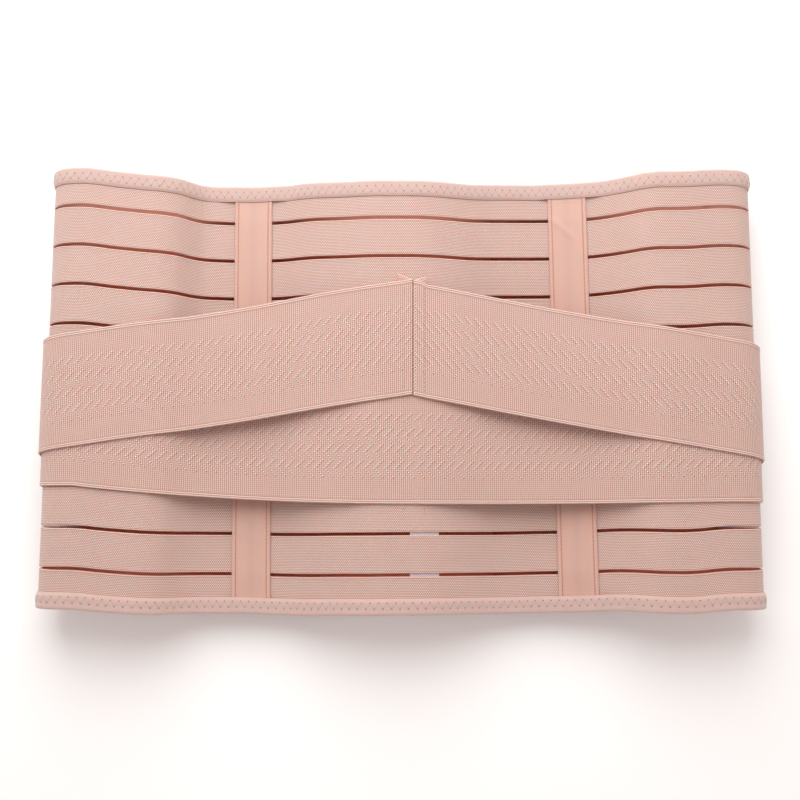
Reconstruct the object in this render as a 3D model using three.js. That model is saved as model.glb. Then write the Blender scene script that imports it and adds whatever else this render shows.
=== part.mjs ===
// Abdominal binder: elastic belt, closed into a loop and lying on its front with its rear face up.
// Millimetres. +X is to the right of the rear face, +Y towards the top edge, +Z up from the floor.
import * as THREE from 'three';

// Gap between pieces that touch
const clearance = 0.3;

// The belt as it lies
const halfWidth = 229; // middle to the outer face of a side fold
const ridgeHeight = 44.5; // floor to the rear face at its ridges
const foldReach = 22.5; // how far a side fold bulges out past the flat stretch
const edgeDip = 6; // largest drift of the top and bottom edges
const foldLean = 4; // largest slant of an upright fold, middle to edge
const stationPitch = 10; // spacing of the sections along the rear
const foldSteps = 8; // sections round a side fold
const foldRoundness = 0.86; // power of the fold's curve: 1 is an ellipse, less is squarer

// Elastic bands
const bandCount = 11;
const bandWidth = 23.7;
const edgeBandWidth = 22.6; // the top and bottom bands, partly under the binding
const bandThickness = 1.4;
const slotHeight = 1.9;

// Folded binding along the top and bottom edges
const bindingDepth = 10.4;
const bindingThickness = 1.1;
const bindingRound = 0.8; // corners of the folded edge

// Stay casings
const casingWidth = 25;
const casingThickness = 2.3;
const casingEndThickness = 1.1; // where the binding covers it
const casingHem = 12; // length of the thinner end
const casingSteps = 6; // sections across a casing
const casingCrown = 0.5; // power of its domed section
const casingLeftAt = -97.5;
const casingRightAt = 112;

// Front panels and their closure
const panelThickness = 1.4;
const panelLap = 16.5; // how far the bands reach over the panel that they are sewn to
const panelOverlap = 120;
const lapStep = 6; // length over which the binding steps down from band to panel
const rampLength = 20; // where the inner panel climbs over the outer one
const rampMargin = 8;
const closureWidth = 60;
const closureHeight = 230;

// Straps
const strapWidth = 73;
const strapThickness = 1.4;
const seamAt = 7; // seam of the upper strap, from the middle of the belt
const seamApex = 67; // top edge of the upper strap at its seam, from the middle of the belt
const leftSlope = 0.151; // fall of the upper strap for each millimetre along it
const rightSlope = 0.177;
const lowerTop = -0.4; // top edge of the lower strap at the centre
const lowerLeftLift = 11; // how far the lower strap rises by the side fold
const lowerRightLift = 1.8;
const upperBridge = 0.8; // share of a hollow that the upper strap spans
const lowerBridge = 0.48;
const strapFrontReach = 56.5; // how far the straps run round onto the front, past the side fold

// Tabs that hold the strap ends
const tabLength = 80;
const tabMargin = 5.5;
const tabSeam = 25; // how far a strap end lies over the tab

// Label behind the lowest slots
const labelWidth = 19;
const labelLength = 47;
const labelThickness = 1;
const labelAt = 15;

// Upright folds of the rear, left to right. "at" is a share of the flat half width, "rise" of the
// ridge height, "lean" of the fold lean, "top" and "bottom" of the edge dip.
const rearFolds = [
  { at: -1.0, rise: 0.99, lean: 0.0, top: 0.45, bottom: 0.3 },
  { at: -0.88, rise: 1.0, lean: 0.5, top: -0.07, bottom: 0.02 },
  { at: -0.75, rise: 0.98, lean: 0.88, top: -0.43, bottom: -0.25 },
  { at: -0.685, rise: 0.7, lean: 0.6, top: -0.43, bottom: -0.37 },
  { at: -0.61, rise: 0.47, lean: -0.3, top: -0.33, bottom: -0.43 },
  { at: -0.472, rise: 0.405, lean: -0.45, top: -0.33, bottom: -0.48 },
  { at: -0.383, rise: 0.45, lean: -0.4, top: -0.23, bottom: -0.6 },
  { at: -0.295, rise: 0.64, lean: -0.25, top: -0.35, bottom: -0.54 },
  { at: -0.19, rise: 0.84, lean: 0.0, top: -0.7, bottom: -0.38 },
  { at: -0.063, rise: 0.99, lean: 0.0, top: -0.9, bottom: -0.27 },
  { at: 0.03, rise: 0.99, lean: 0.0, top: -0.9, bottom: -0.23 },
  { at: 0.116, rise: 0.9, lean: 0.0, top: -0.8, bottom: -0.25 },
  { at: 0.203, rise: 0.72, lean: 0.0, top: -0.62, bottom: -0.3 },
  { at: 0.305, rise: 0.5, lean: 0.0, top: -0.15, bottom: -0.4 },
  { at: 0.445, rise: 0.405, lean: -0.4, top: 0.07, bottom: -0.33 },
  { at: 0.576, rise: 0.49, lean: -0.5, top: 0.03, bottom: -0.17 },
  { at: 0.663, rise: 0.675, lean: -0.3, top: -0.05, bottom: 0.05 },
  { at: 0.726, rise: 0.86, lean: 0.0, top: 0.02, bottom: 0.08 },
  { at: 0.782, rise: 1.0, lean: 0.4, top: 0.15, bottom: 0.0 },
  { at: 0.86, rise: 1.0, lean: 0.5, top: 0.17, bottom: -0.03 },
  { at: 1.0, rise: 0.99, lean: 0.0, top: 0.4, bottom: 0.35 },
];

// Sizes that follow from the ones above
const flatHalf = halfWidth - foldReach;
const pitch = bandWidth + slotHeight;
const fabricHalf = (bandWidth * (bandCount - 2) + slotHeight * (bandCount - 1)) / 2 + edgeBandWidth;
const beltHalf = fabricHalf + clearance + bindingThickness;

// Levels of the layers, outwards from the outer face of the bands
const panelOuter = -(bandThickness + clearance);
const panelInner = panelOuter - panelThickness;
const lowerStrapInner = clearance;
const upperStrapInner = lowerStrapInner + strapThickness + clearance;
const frontLevel = upperStrapInner + strapThickness; // height of that face on the front
const bindingReach = clearance + bindingThickness;
const overlapRise = panelOuter - panelInner + 2 * bindingReach + clearance;

// A column of the table at a place along the rear, on a curve that does not overshoot its rows
function foldColumn(column, at) {
  const rows = rearFolds;
  let i = 0;
  while (i < rows.length - 2 && at > rows[i + 1].at) i += 1;
  const slope = (j) => (rows[j + 1][column] - rows[j][column]) / (rows[j + 1].at - rows[j].at);
  const tangent = (j) => {
    if (j === 0 || j === rows.length - 1) return 0;
    const before = slope(j - 1);
    const after = slope(j);
    return before * after > 0 ? (2 * before * after) / (before + after) : 0;
  };
  const span = rows[i + 1].at - rows[i].at;
  const t = (at - rows[i].at) / span;
  const start = rows[i][column] * (1 + 2 * t) * (1 - t) ** 2 + span * tangent(i) * t * (1 - t) ** 2;
  const end = rows[i + 1][column] * t * t * (3 - 2 * t) - span * tangent(i + 1) * t * t * (1 - t);
  return start + end;
}

// The route of the belt: from the free end of the outer front panel to the right side fold, over the
// rear to the left side fold, and back along the front to the free end of the inner panel.
const route = [];
const mark = {};

function addStation(x, z, at, name) {
  route.push({
    x,
    z,
    lean: foldColumn('lean', at) * foldLean,
    top: foldColumn('top', at) * edgeDip,
    bottom: foldColumn('bottom', at) * edgeDip,
    rear: false,
  });
  if (name) mark[name] = route.length - 1;
}

const panelEnd = panelOverlap / 2;
const rampEnd = panelEnd + rampMargin;
const closureHalf = closureWidth / 2;
const lapEnd = flatHalf - panelLap;
const strapEnd = flatHalf - strapFrontReach;
const tabOuter = strapEnd + tabSeam;
const tabInner = tabOuter - tabLength;

// One side of the front, which runs from left to right. The panel of the left side climbs to lie
// inside the other one where they overlap.
function addFront(side, keys) {
  keys.sort((a, b) => a.x - b.x);
  for (const { x, name } of keys) {
    const climb = THREE.MathUtils.clamp((x + rampEnd + rampLength) / rampLength, 0, 1);
    addStation(x, frontLevel + (side < 0 ? overlapRise * climb : 0), side, name);
  }
}

addFront(1, [
  { x: -panelEnd, name: 'outerEnd' },
  { x: -closureHalf, name: 'closureStart' },
  { x: closureHalf, name: 'closureEnd' },
  { x: tabInner, name: 'rightTabInner' },
  { x: strapEnd, name: 'rightStrapEnd' },
  { x: tabOuter, name: 'rightTabOuter' },
  { x: lapEnd - lapStep, name: 'rightPanelStep' },
  { x: lapEnd, name: 'rightBandEnd' },
]);

const foldTop = foldColumn('rise', 1) * ridgeHeight;

// A side fold is half of a rather square ellipse between the front and the rear.
function addSideFold(side) {
  const middle = (foldTop + frontLevel) / 2;
  const reach = (foldTop - frontLevel) / 2;
  for (let i = 0; i <= foldSteps; i += 1) {
    const turn = (side > 0 ? i : foldSteps - i) * (Math.PI / foldSteps);
    const name = { 0: 'FoldStart', [foldSteps]: 'FoldEnd' }[i];
    addStation(
      side * (flatHalf + foldReach * Math.sin(turn) ** foldRoundness),
      middle - reach * Math.sign(Math.cos(turn)) * Math.abs(Math.cos(turn)) ** foldRoundness,
      side,
      name && (side > 0 ? 'right' : 'left') + name,
    );
  }
}

addSideFold(1);
const rearKeys = [
  { x: casingRightAt + casingWidth / 2, name: 'casingRightStart' },
  { x: casingRightAt - casingWidth / 2, name: 'casingRightEnd' },
  { x: labelAt + labelWidth / 2, name: 'labelStart' },
  { x: seamAt, name: 'seam' },
  { x: labelAt - labelWidth / 2, name: 'labelEnd' },
  { x: casingLeftAt + casingWidth / 2, name: 'casingLeftStart' },
  { x: casingLeftAt - casingWidth / 2, name: 'casingLeftEnd' },
  { x: -flatHalf, name: null },
].sort((a, b) => b.x - a.x);
let from = flatHalf;
for (const key of rearKeys) {
  const steps = Math.max(1, Math.round((from - key.x) / stationPitch));
  for (let i = 1; i <= steps; i += 1) {
    const x = from + ((key.x - from) * i) / steps;
    const at = x / flatHalf;
    if (i === steps && !key.name) break;
    addStation(x, foldColumn('rise', at) * ridgeHeight, at, i === steps ? key.name : null);
    route[route.length - 1].rear = true;
  }
  from = key.x;
}
addSideFold(-1);

addFront(-1, [
  { x: -lapEnd, name: 'leftBandEnd' },
  { x: -lapEnd + lapStep, name: 'leftPanelStep' },
  { x: -tabOuter, name: 'leftTabOuter' },
  { x: -strapEnd, name: 'leftStrapEnd' },
  { x: -tabInner, name: 'leftTabInner' },
  { x: -rampEnd - rampLength },
  { x: -rampEnd },
  { x: panelEnd, name: 'innerEnd' },
]);

// Outward direction at each station, mitred so that a layer keeps its thickness round a bend, and the
// length along the belt, which on the rear is measured straight across the folds
route.forEach((here, i) => {
  const before = route[Math.max(0, i - 1)];
  const after = route[Math.min(route.length - 1, i + 1)];
  const into = new THREE.Vector2(here.x - before.x, here.z - before.z).normalize();
  const out = new THREE.Vector2(after.x - here.x, after.z - here.z).normalize();
  if (i === 0) into.copy(out);
  if (i === route.length - 1) out.copy(into);
  const mitre = into.clone().add(out).divideScalar(1 + into.dot(out));
  here.outX = mitre.y;
  here.outZ = -mitre.x;
  const step = here.rear ? Math.abs(here.x - before.x) : Math.hypot(here.x - before.x, here.z - before.z);
  here.run = i === 0 ? 0 : before.run + step;
});

// A point of the belt: station along it, height up it, distance out of it and lift over the hollows.
// A free layer, such as a strap, does not follow the drift of the edges.
function place(station, up, out, lift = 0, free = false) {
  const i = Math.min(Math.floor(station), route.length - 2);
  const f = station - i;
  const mix = (column) => route[i][column] * (1 - f) + route[i + 1][column] * f;
  const share = (up / beltHalf + 1) / 2;
  const drift = free ? 0 : mix('bottom') * (1 - share) + mix('top') * share;
  return new THREE.Vector3(
    mix('x') + mix('outX') * out + (mix('lean') * up) / beltHalf,
    up + drift,
    mix('z') + mix('outZ') * out + lift,
  );
}

const root = new THREE.Group();

// A section, drawn with "out" across and "up" along it, swept between two stations. shapeAt turns a
// point of the section into its place at a station.
function sweep(name, material, section, start, end, shapeAt, steps = end - start) {
  const outline = new THREE.Shape(section.map(([out, up]) => new THREE.Vector2(out, up)));
  const geometry = new THREE.ExtrudeGeometry(outline, { depth: end - start, steps, bevelEnabled: false });
  const positions = geometry.attributes.position;
  for (let i = 0; i < positions.count; i += 1) {
    const station = start + positions.getZ(i);
    const at = shapeAt(positions.getX(i), positions.getY(i), station);
    positions.setXYZ(i, at.x, at.y, at.z);
  }
  geometry.computeVertexNormals();
  const mesh = new THREE.Mesh(geometry, material);
  mesh.name = name;
  root.add(mesh);
}

function strip(inner, outer, low, high) {
  return [
    [inner, low],
    [outer, low],
    [outer, high],
    [inner, high],
  ];
}

function cloth(colour, roughness) {
  return new THREE.MeshStandardMaterial({ color: colour, roughness, metalness: 0 });
}

const bandCloth = cloth('#e6c3b4', 0.85);
const bindingCloth = cloth('#eed0c5', 0.8);
const casingCloth = cloth('#e5b5a2', 0.75);
const panelCloth = cloth('#e0b6a6', 0.9);
const strapCloth = cloth('#e4bfae', 0.8);
const hookCloth = cloth('#d9b0a0', 0.9);
const labelCloth = cloth('#f1f1f4', 0.6);

// The slots are open over the rear and close towards the ends of the bands.
function slotAt(station) {
  const right = (station - mark.rightFoldStart) / foldSteps;
  const left = (mark.leftFoldEnd - station) / foldSteps;
  const open = THREE.MathUtils.clamp(Math.min(right, left), 0, 1);
  return clearance + (slotHeight - clearance) * open;
}

function addBands() {
  for (let i = 0; i < bandCount; i += 1) {
    const middle = (bandCount - 1) / 2 - i;
    const centre = middle * pitch;
    const isTop = i === 0;
    const isBottom = i === bandCount - 1;
    const edge = (sign, station) => {
      if ((sign > 0 && isTop) || (sign < 0 && isBottom)) return sign * fabricHalf;
      return centre + (sign * (pitch - slotAt(station))) / 2;
    };
    sweep(
      'elastic_band_' + String(i + 1).padStart(2, '0'),
      bandCloth,
      strip(-bandThickness, 0, -1, 1),
      mark.rightBandEnd,
      mark.leftBandEnd,
      (out, sign, station) => place(station, edge(sign, station), out),
    );
  }
}

// Outermost and innermost faces of the layers that the binding holds, at a station
function outerFace(station) {
  const onPanel = station <= mark.rightPanelStep || station >= mark.leftPanelStep;
  const onCasing =
    (station >= mark.casingRightStart && station <= mark.casingRightEnd) ||
    (station >= mark.casingLeftStart && station <= mark.casingLeftEnd);
  if (onPanel) return panelOuter;
  return onCasing ? clearance + casingEndThickness : 0;
}

function innerFace(station) {
  const onPanel = station <= mark.rightFoldStart || station >= mark.leftFoldEnd;
  return onPanel ? panelInner : -bandThickness;
}

// The binding's section is a U that opens towards the middle of the belt. Its legs stand off the
// outermost and the innermost layer by the clearance.
function addBinding(name, side) {
  const edge = side * beltHalf;
  const leg = side * (beltHalf - bindingDepth);
  const inside = side * (beltHalf - bindingThickness);
  const shoulder = side * (beltHalf - bindingRound);
  const round = bindingReach - bindingRound;
  const section = [
    [clearance, leg],
    [bindingReach, leg],
    [bindingReach, shoulder],
    [round, edge],
    [-round, edge],
    [-bindingReach, shoulder],
    [-bindingReach, leg],
    [-clearance, leg],
    [-clearance, inside],
    [clearance, inside],
  ];
  sweep(name, bindingCloth, section, mark.outerEnd, mark.innerEnd, (out, up, station) => {
    const face = out > 0 ? outerFace(station) : innerFace(station);
    return place(station, up, face + out);
  });
}

// A casing is thickest along its middle, where the stay lies in it, and thinner under the bindings.
function addCasing(name, start, end) {
  const full = fabricHalf - casingHem;
  const section = [
    [0, -fabricHalf],
    [casingEndThickness, -fabricHalf],
    [casingEndThickness, -full - clearance],
    [casingThickness, -full + casingHem],
    [casingThickness, full - casingHem],
    [casingEndThickness, full + clearance],
    [casingEndThickness, fabricHalf],
    [0, fabricHalf],
  ];
  const crown = (station) => Math.sin((Math.PI * (station - start)) / (end - start)) ** casingCrown;
  sweep(
    name,
    casingCloth,
    section,
    start,
    end,
    (out, up, station) => {
      const flat = Math.min(out, casingEndThickness);
      return place(station, up, clearance + flat + (out - flat) * crown(station));
    },
    casingSteps,
  );
}

function addPanel(name, start, end) {
  const section = strip(panelInner, panelOuter, -fabricHalf, fabricHalf);
  sweep(name, panelCloth, section, start, end, (out, up, station) => place(station, up, out));
}

function addClosure() {
  const outer = panelInner - clearance;
  const inner = panelOuter - overlapRise + clearance;
  const section = strip(inner, outer, -closureHeight / 2, closureHeight / 2);
  sweep('hook_closure', hookCloth, section, mark.closureStart, mark.closureEnd, (out, up, station) =>
    place(station, up, out),
  );
}

// How high a strap is lifted off the rear where it spans a hollow
function spanLift(station, bridge) {
  const here = route[Math.round(station)];
  return here.rear ? bridge * Math.max(0, foldTop - here.z) : 0;
}

function upperCentre(station) {
  const run = route[Math.round(station)].run - route[mark.seam].run;
  return seamApex - strapWidth / 2 - Math.abs(run) * (run > 0 ? leftSlope : rightSlope);
}

function lowerCentre(station) {
  const run = route[Math.round(station)].run - route[mark.seam].run;
  const sideRun = run > 0 ? flatHalf + seamAt : flatHalf - seamAt;
  const rise = run > 0 ? lowerLeftLift : lowerRightLift;
  return lowerTop - strapWidth / 2 + rise * Math.min(1, Math.abs(run) / sideRun) ** 2;
}

function addStrap(name, inner, centreAt, bridge, start, end) {
  const section = strip(inner, inner + strapThickness, -strapWidth / 2, strapWidth / 2);
  sweep(name, strapCloth, section, start, end, (out, up, station) => {
    // The two halves of the upper strap stop either side of their seam.
    const atSeam = station === mark.seam && (start === mark.seam || end === mark.seam);
    const point = place(station, centreAt(station) + up, out, spanLift(station, bridge), true);
    if (atSeam) point.x += start === mark.seam ? -clearance : clearance;
    return point;
  });
}

// A tab lies on the panel, at the level of the bands, under the ends of both straps.
function addTab(name, start, end, strapStation) {
  const centre = (upperCentre(strapStation) + lowerCentre(strapStation)) / 2;
  const half = strapWidth / 2 + tabMargin;
  const section = strip(-bandThickness, 0, centre - half, centre + half);
  sweep(name, hookCloth, section, start, end, (out, up, station) => place(station, up, out, 0, true));
}

function addLabel() {
  const low = -(beltHalf - bindingDepth) + clearance;
  const outer = -bandThickness - clearance;
  const section = strip(outer - labelThickness, outer, low, low + labelLength);
  sweep('care_label', labelCloth, section, mark.labelStart, mark.labelEnd, (out, up, station) =>
    place(station, up, out),
  );
}

addBands();
addBinding('top_binding', 1);
addBinding('bottom_binding', -1);
addCasing('stay_casing_left', mark.casingLeftStart, mark.casingLeftEnd);
addCasing('stay_casing_right', mark.casingRightStart, mark.casingRightEnd);
addPanel('front_panel_right', mark.outerEnd, mark.rightFoldStart);
addPanel('front_panel_left', mark.leftFoldEnd, mark.innerEnd);
addClosure();
addStrap('lower_strap', lowerStrapInner, lowerCentre, lowerBridge, mark.rightStrapEnd, mark.leftStrapEnd);
addStrap('upper_strap_right', upperStrapInner, upperCentre, upperBridge, mark.rightStrapEnd, mark.seam);
addStrap('upper_strap_left', upperStrapInner, upperCentre, upperBridge, mark.seam, mark.leftStrapEnd);
addTab('hook_tab_right', mark.rightTabInner, mark.rightTabOuter, mark.rightStrapEnd);
addTab('hook_tab_left', mark.leftTabOuter, mark.leftTabInner, mark.leftStrapEnd);
addLabel();

// The origin is on the floor, under the middle of the whole belt.
const box = new THREE.Box3().setFromObject(root);
const middle = box.getCenter(new THREE.Vector3());
root.position.set(-middle.x, -middle.y, -box.min.z);

export default root;
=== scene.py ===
# Abdominal binder: the looks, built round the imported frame. Metres, +Z up from the floor.
# Each cloth piece is drawn flat, as it would be cut, and then laid onto its node's swept surface.
import math

import bmesh
import bpy
import numpy as np
from mathutils import Matrix, Vector


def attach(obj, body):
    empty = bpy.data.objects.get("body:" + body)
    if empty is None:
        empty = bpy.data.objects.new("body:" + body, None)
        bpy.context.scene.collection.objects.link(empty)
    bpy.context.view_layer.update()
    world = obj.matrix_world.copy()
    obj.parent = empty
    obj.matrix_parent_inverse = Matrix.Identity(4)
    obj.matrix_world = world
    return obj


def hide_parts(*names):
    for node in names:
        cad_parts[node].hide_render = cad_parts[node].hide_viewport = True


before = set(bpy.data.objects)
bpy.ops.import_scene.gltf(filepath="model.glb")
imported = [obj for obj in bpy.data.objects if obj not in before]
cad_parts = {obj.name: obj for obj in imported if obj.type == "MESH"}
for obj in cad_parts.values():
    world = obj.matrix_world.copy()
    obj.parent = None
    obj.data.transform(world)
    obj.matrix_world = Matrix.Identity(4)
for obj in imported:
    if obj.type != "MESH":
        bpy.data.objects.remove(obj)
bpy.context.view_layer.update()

mm = 0.001

# Camera

camera = {
    "target": (-0.84 * mm, -5.0 * mm, 20 * mm),
    "distance": 650 * mm,
    "tiltDeg": 6.691,  # from straight down, towards the top edge
    "rollDeg": 0.116,
    "focalPixels": 993.8,  # on the photograph's frame of 800 x 800
    "framePixels": 800,
    "sensor": 36.0,
}


def buildCamera():
    data = bpy.data.cameras.new("camera")
    data.sensor_width = camera["sensor"]
    data.lens = camera["focalPixels"] / camera["framePixels"] * camera["sensor"]
    data.clip_start = 0.01
    data.clip_end = 20
    holder = bpy.data.objects.new("camera", data)
    bpy.context.scene.collection.objects.link(holder)
    turn = Matrix.Rotation(math.radians(camera["tiltDeg"]), 4, "X")
    turn = turn @ Matrix.Rotation(math.radians(camera["rollDeg"]), 4, "Z")
    back = turn @ Vector((0, 0, camera["distance"]))
    holder.matrix_world = Matrix.Translation(Vector(camera["target"]) + back) @ turn
    bpy.context.scene.camera = holder


buildCamera()
print("stage: camera")

# Surfaces of the frame: each cloth node is a section swept along the belt

sweeps = {
    "merge": 0.01 * mm,
    "capFacing": 0.9,  # how squarely an end cap faces along X
    "capDepth": 3 * mm,
    "hollowHeight": 12 * mm,  # a height between the front and the rear of the belt
    "weights": (0.1, 0, 1),  # how much X, Y and Z say of which way is out of the belt
    "creaseReach": (100 * mm, 180 * mm),  # on either side of the rear, where the cloth is creased
    "creaseHeight": 30 * mm,
}


def walkLoop(edges):
    beside = {}
    for edge in edges:
        a, b = edge.verts
        beside.setdefault(a, []).append(b)
        beside.setdefault(b, []).append(a)
    loop = [next(iter(beside))]
    while len(loop) < len(beside):
        loop.append(next(v for v in beside[loop[-1]] if v not in loop))
    return loop


def matched(loop, before):
    # the loop turned, and reversed if need be, so that each point follows the one before it
    def offsets(points):
        return points - points.mean(axis=0)

    was = offsets(before)
    turns = []
    for way in (loop, loop[::-1]):
        for k in range(len(loop)):
            turned = way[k:] + way[:k]
            points = np.array([v.co for v in turned])
            turns.append((float(((offsets(points) - was) ** 2).sum()), len(turns), turned, points))
    best = min(turns)
    return best[2], best[3]


def ringsOf(nodeName, facing):
    # the node's sections in order, from the end cap nearest the belt's middle that faces that way
    bm = bmesh.new()
    bm.from_mesh(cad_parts[nodeName].data)
    bmesh.ops.remove_doubles(bm, verts=bm.verts, dist=sweeps["merge"])
    bm.normal_update()
    caps = [f for f in bm.faces if f.normal.x * facing > sweeps["capFacing"]]
    nearest = min(abs(f.calc_center_median().x) for f in caps)
    caps = {f for f in caps if abs(f.calc_center_median().x) < nearest + sweeps["capDepth"]}
    rim = {e for f in caps for e in f.edges if sum(g in caps for g in e.link_faces) == 1}
    ring = walkLoop(rim)
    points = np.array([v.co for v in ring])
    seen = set(ring)
    rings = [points]
    while True:
        after = {e.other_vert(v) for v in ring for e in v.link_edges} - seen
        if not after:
            break
        seen |= after
        rim = set()
        for v in after:
            for e in v.link_edges:
                walls = [f for f in e.link_faces if not set(f.verts) <= after]
                if e.other_vert(v) in after and walls:
                    rim.add(e)
        ring, points = matched(walkLoop(rim), points)
        rings.append(points)
    bm.free()
    return np.array(rings)


def surfaceOf(nodeName, facing=-1, outerCount=2, side=1):
    # the outer and the inner face of a node as columns of points, and the distance along it
    rings = ringsOf(nodeName, facing)
    centres = rings.mean(axis=1)
    steps = np.linalg.norm(np.diff(centres, axis=0), axis=1)
    run = np.concatenate([[0], np.cumsum(steps)])
    ahead = np.gradient(centres, axis=0)
    outward = np.cross([0, 1, 0], ahead)
    outward /= np.linalg.norm(outward, axis=1)[:, None]
    fromMiddle = (centres - np.array([0, 0, sweeps["hollowHeight"]])) * sweeps["weights"]
    if (outward * fromMiddle).sum() < 0:
        outward = -outward
    spread = rings - centres[:, None]
    out = (spread * outward[:, None]).sum(axis=2).mean(axis=0)
    up = spread[:, :, 1].mean(axis=0) * side
    count = len(up)
    low = [i for i in range(count) if up[i] < up.min() + sweeps["capDepth"] / 10]
    first = max(low, key=lambda i: out[i])
    order = [(first + i) % count for i in range(count)]
    if up[order[1]] < up[order[-1]]:
        order = [order[0]] + order[:0:-1]
    outer = rings[:, order[:outerCount]]
    inner = rings[:, order[:outerCount - 1:-1]]
    return {
        "run": run, "outer": outer, "inner": inner, "creases": creasesOf(run, centres),
        "length": float(run[-1]), "width": acrossOf(outer)[-1],
    }


def creasesOf(run, centres):
    # the stations of the sharpest outward bend on the left and on the right of the rear
    slope = np.diff(centres[:, 2]) / np.diff(run)
    found = []
    for way in (-1, 1):
        least, most = sweeps["creaseReach"]
        near = [
            i for i in range(1, len(run) - 1)
            if least < way * centres[i, 0] < most and centres[i, 2] > sweeps["creaseHeight"]
        ]
        if near:
            found.append(max(near, key=lambda i: slope[i - 1] - slope[i]))
    return found


def acrossOf(face):
    # distance across a face to each of its columns
    steps = np.linalg.norm(np.diff(face, axis=1), axis=2).mean(axis=0)
    return np.concatenate([[0], np.cumsum(steps)])


def alongColumns(columns, run, creases, at):
    # columns of points at the distances "at", on curves that do not overshoot their stations
    values = columns.reshape(len(run), -1)
    slope = np.diff(values, axis=0) / np.diff(run)[:, None]
    before, after = slope[:-1], slope[1:]
    same = before * after > 0
    tangent = np.where(same, 2 * before * after / np.where(same, before + after, 1), 0)
    tangent = np.concatenate([slope[:1], tangent, slope[-1:]])
    arriving, leaving = tangent.copy(), tangent.copy()
    for k in creases:
        arriving[k], leaving[k] = slope[k - 1], slope[k]
    i = np.clip(np.searchsorted(run, at, side="right") - 1, 0, len(run) - 2)
    span = (run[i + 1] - run[i])[:, None]
    t = (at - run[i])[:, None] / span
    start = values[i] * (1 + 2 * t) * (1 - t) ** 2 + leaving[i] * span * t * (1 - t) ** 2
    end = values[i + 1] * t * t * (3 - 2 * t) - arriving[i + 1] * span * t * t * (1 - t)
    return (start + end).reshape(len(at), columns.shape[1], 3)


def onFace(surface, side, at, share):
    knots = acrossOf(surface[side])
    columns = alongColumns(surface[side], surface["run"], surface["creases"], at)
    place = share * knots[-1]
    k = np.clip(np.searchsorted(knots, place, side="right") - 1, 0, len(knots) - 2)
    f = ((place - knots[k]) / (knots[k + 1] - knots[k]))[:, None]
    rows = np.arange(len(at))
    return columns[rows, k] * (1 - f) + columns[rows, k + 1] * f


def laid(flat, surface, thickness):
    # flat points (along, across, out) laid onto a surface
    share = flat[:, 1] / surface["width"] + 0.5
    outer = onFace(surface, "outer", flat[:, 0], share)
    inner = onFace(surface, "inner", flat[:, 0], share)
    through = outer - inner
    outward = through / np.linalg.norm(through, axis=1)[:, None]
    depth = np.clip(flat[:, 2] / thickness, 0, 1)[:, None]
    proud = (flat[:, 2] - np.clip(flat[:, 2], 0, thickness))[:, None]  # or below the inner face
    return inner + through * depth + outward * proud


# Making and laying pieces


def meshPoints(mesh):
    points = np.empty(len(mesh.vertices) * 3)
    mesh.vertices.foreach_get("co", points)
    return points.reshape(-1, 3)


def layPiece(name, mesh, surface, thickness, material, replaced=None, reshaped=None):
    # turns a flat mesh into a piece on the belt: its UV map keeps the flat cut, in metres, and its
    # attributes the distances from the cut's sides and ends and which face of the cloth a point is on.
    # What reshaped does to the cut's points comes after those.
    flat = meshPoints(mesh)
    along, across = flat[:, 0], flat[:, 1]
    measures = {
        "sideInset": surface["width"] / 2 - np.abs(across),
        "endInset": np.minimum(along, surface["length"] - along),
        "inward": 1 - flat[:, 2] / thickness,
    }
    for label, values in measures.items():
        kept = mesh.attributes.new(label, "FLOAT", "POINT")
        kept.data.foreach_set("value", values.astype(np.float32))
    corner = np.empty(len(mesh.loops), dtype=np.int32)
    mesh.loops.foreach_get("vertex_index", corner)
    uv = mesh.uv_layers.get("UVMap") or mesh.uv_layers.new(name="UVMap")
    uv.data.foreach_set("uv", flat[corner, :2].astype(np.float32).ravel())
    placed = reshaped(flat) if reshaped else flat
    mesh.vertices.foreach_set("co", laid(placed, surface, thickness).ravel())
    bm = bmesh.new()
    bm.from_mesh(mesh)
    bmesh.ops.recalc_face_normals(bm, faces=bm.faces)
    for face in bm.faces:
        face.smooth = True
    bm.to_mesh(mesh)
    bm.free()
    mesh.update()
    mesh.materials.clear()
    mesh.materials.append(material)
    piece = bpy.data.objects.new(name, mesh)
    bpy.context.scene.collection.objects.link(piece)
    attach(piece, "root")
    if replaced:
        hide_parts(replaced)
    return piece


def spaced(start, end, step):
    return np.linspace(start, end, max(2, round((end - start) / step) + 1))


def withEdges(length, step, edges):
    # places from 0 to length: the given distances from both ends, and even steps between them
    near = np.array(edges)
    middle = spaced(near[-1], length - near[-1], step)[1:-1]
    return np.concatenate([near, middle, (length - near)[::-1]])


def cutCloth(along, across, thickness, rounding, relief=None):
    # a flat cut of cloth: two grids, front and back, that meet in a rounded rim
    bm = bmesh.new()
    bmesh.ops.create_grid(bm, x_segments=len(along) - 1, y_segments=len(across) - 1, size=1)
    front = bm.verts[:]
    made = bmesh.ops.duplicate(bm, geom=bm.verts[:] + bm.edges[:] + bm.faces[:])["geom"]
    back = [part for part in made if isinstance(part, bmesh.types.BMVert)]
    bmesh.ops.reverse_faces(bm, faces=[part for part in made if isinstance(part, bmesh.types.BMFace)])
    for verts, way in ((front, 1), (back, -1)):
        for v in verts:
            x = along[round((v.co.x + 1) / 2 * (len(along) - 1))]
            y = across[round((v.co.y + 1) / 2 * (len(across) - 1))]
            rim = min(x - along[0], along[-1] - x, y - across[0], across[-1] - y, rounding)
            full = math.sqrt(max(0.0, 1 - (1 - rim / rounding) ** 2))
            swell = relief(x, y) * full if relief and way > 0 else 0.0
            v.co = (x, y, thickness / 2 * (1 + way * full) + swell)
    bmesh.ops.remove_doubles(bm, verts=bm.verts, dist=sweeps["merge"] / 10)
    mesh = bpy.data.meshes.new("cut")
    bm.to_mesh(mesh)
    bm.free()
    return mesh


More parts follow.
